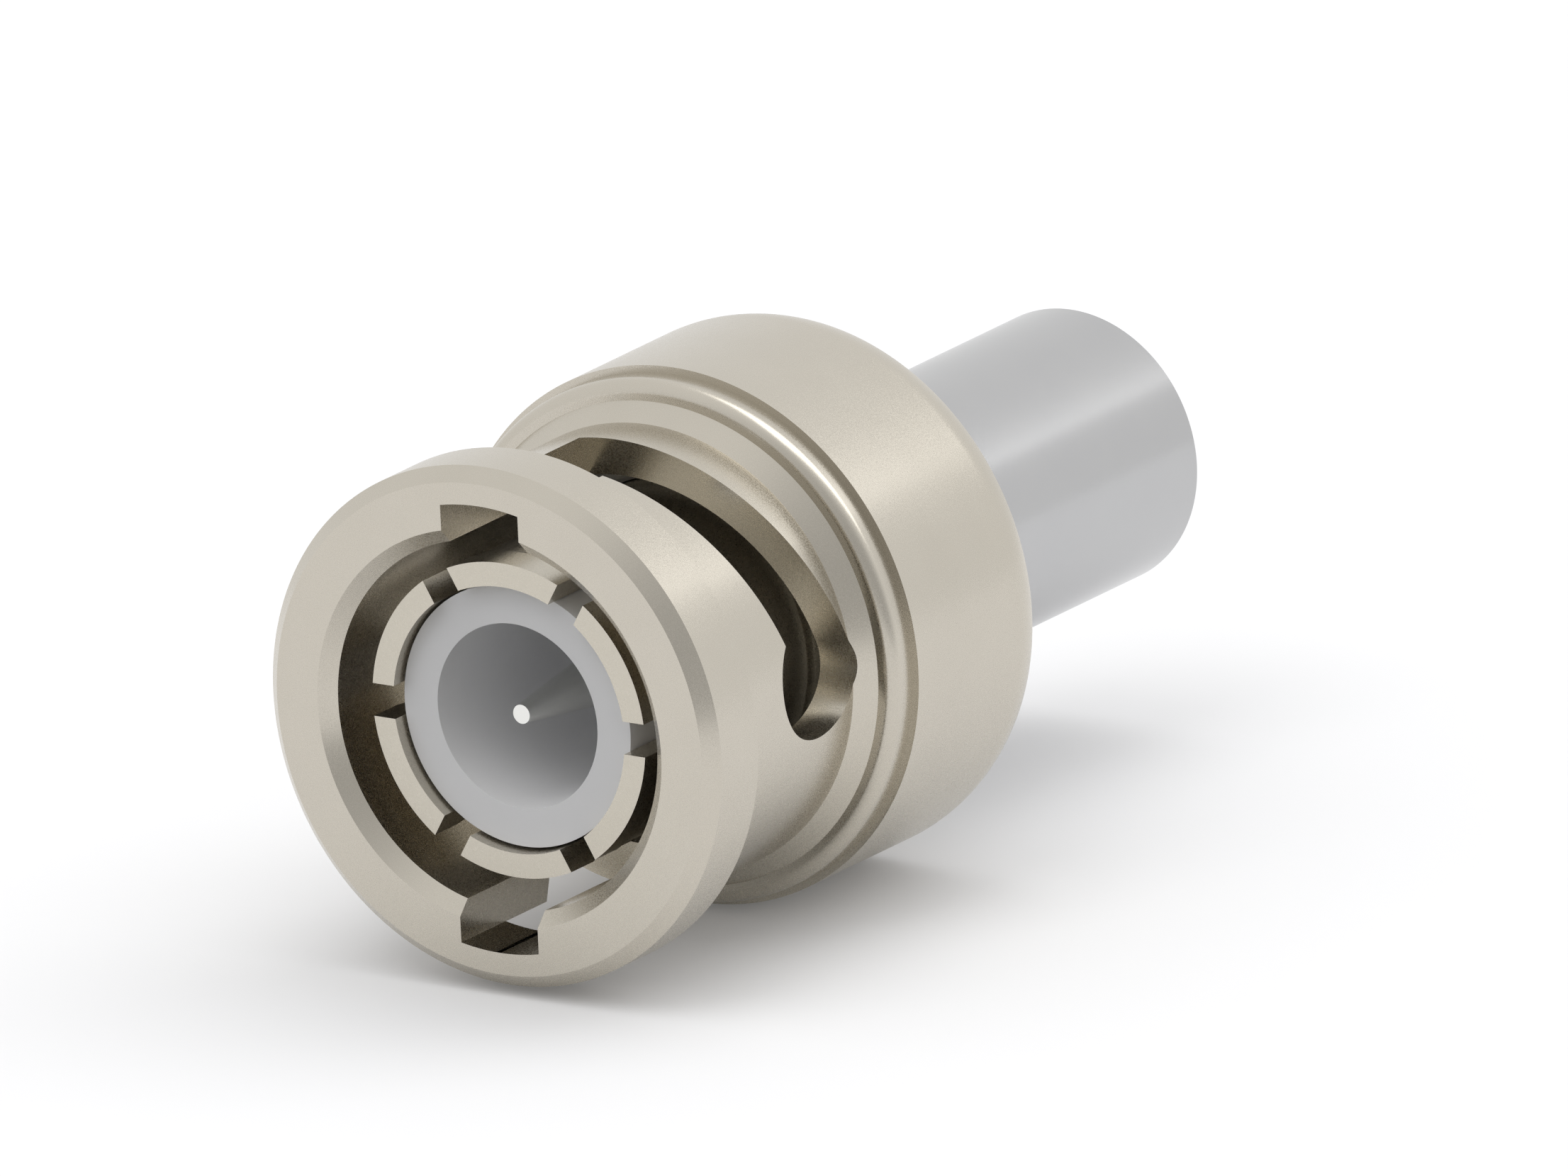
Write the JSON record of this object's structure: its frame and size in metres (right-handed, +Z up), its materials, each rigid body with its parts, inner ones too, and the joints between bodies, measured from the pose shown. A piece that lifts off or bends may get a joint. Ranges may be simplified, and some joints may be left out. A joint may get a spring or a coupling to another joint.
{
  "type": "bayonet coaxial cable plug",
  "caption": "Straight coaxial cable plug with a bayonet coupling nut, slotted spring contact, centre pin and a plain crimp ferrule.",
  "frame": {"origin": "on the plug's axis, in the plane of the coupling nut's front face, where the mating jack comes in", "axes": "+Y along the plug's axis from the nut's front face to the ferrule, +Z up, keyways at +Z and -Z, locking holes at +X and -X"},
  "size_m": [0.0142, 0.0268, 0.0142],
  "materials": {
    "nut_plating": "satin nickel plate on turned brass",
    "body_plating": "satin nickel plate on turned brass",
    "contact_plating": "nickel plate on spring brass",
    "pin_plating": "silver plate on brass",
    "ferrule_plating": "nickel plate on annealed brass",
    "insulator": "white fluoropolymer, machined",
    "gasket": "clear white silicone rubber",
    "spring_steel": "bright spring steel"
  },
  "bodies": {
    "plug": {"plug_body": "body_plating", "crimp_stem": "body_plating", "outer_contact": "contact_plating", "front_insulator": "insulator", "rear_insulator": "insulator", "centre_contact": "pin_plating", "face_gasket": "gasket", "front_thrust_washer": "spring_steel", "wave_spring": "spring_steel", "crimp_ferrule": "ferrule_plating"},
    "spring_washer": {"rear_thrust_washer": "spring_steel"},
    "nut": {"coupling_nut": "nut_plating", "retaining_ring": "spring_steel"}
  },
  "joints": [
    {"name": "nut_push", "type": "slide", "parent": "plug", "child": "spring_washer", "axis": [0, -1, 0], "range_m": [0, 0.0009], "stiffness_N_per_m": 12000, "deforming": ["wave_spring"]},
    {"name": "nut_turn", "type": "hinge", "parent": "spring_washer", "child": "nut", "pos_m": [0, 0, 0], "axis": [0, 1, 0], "continuous": true}
  ]
}
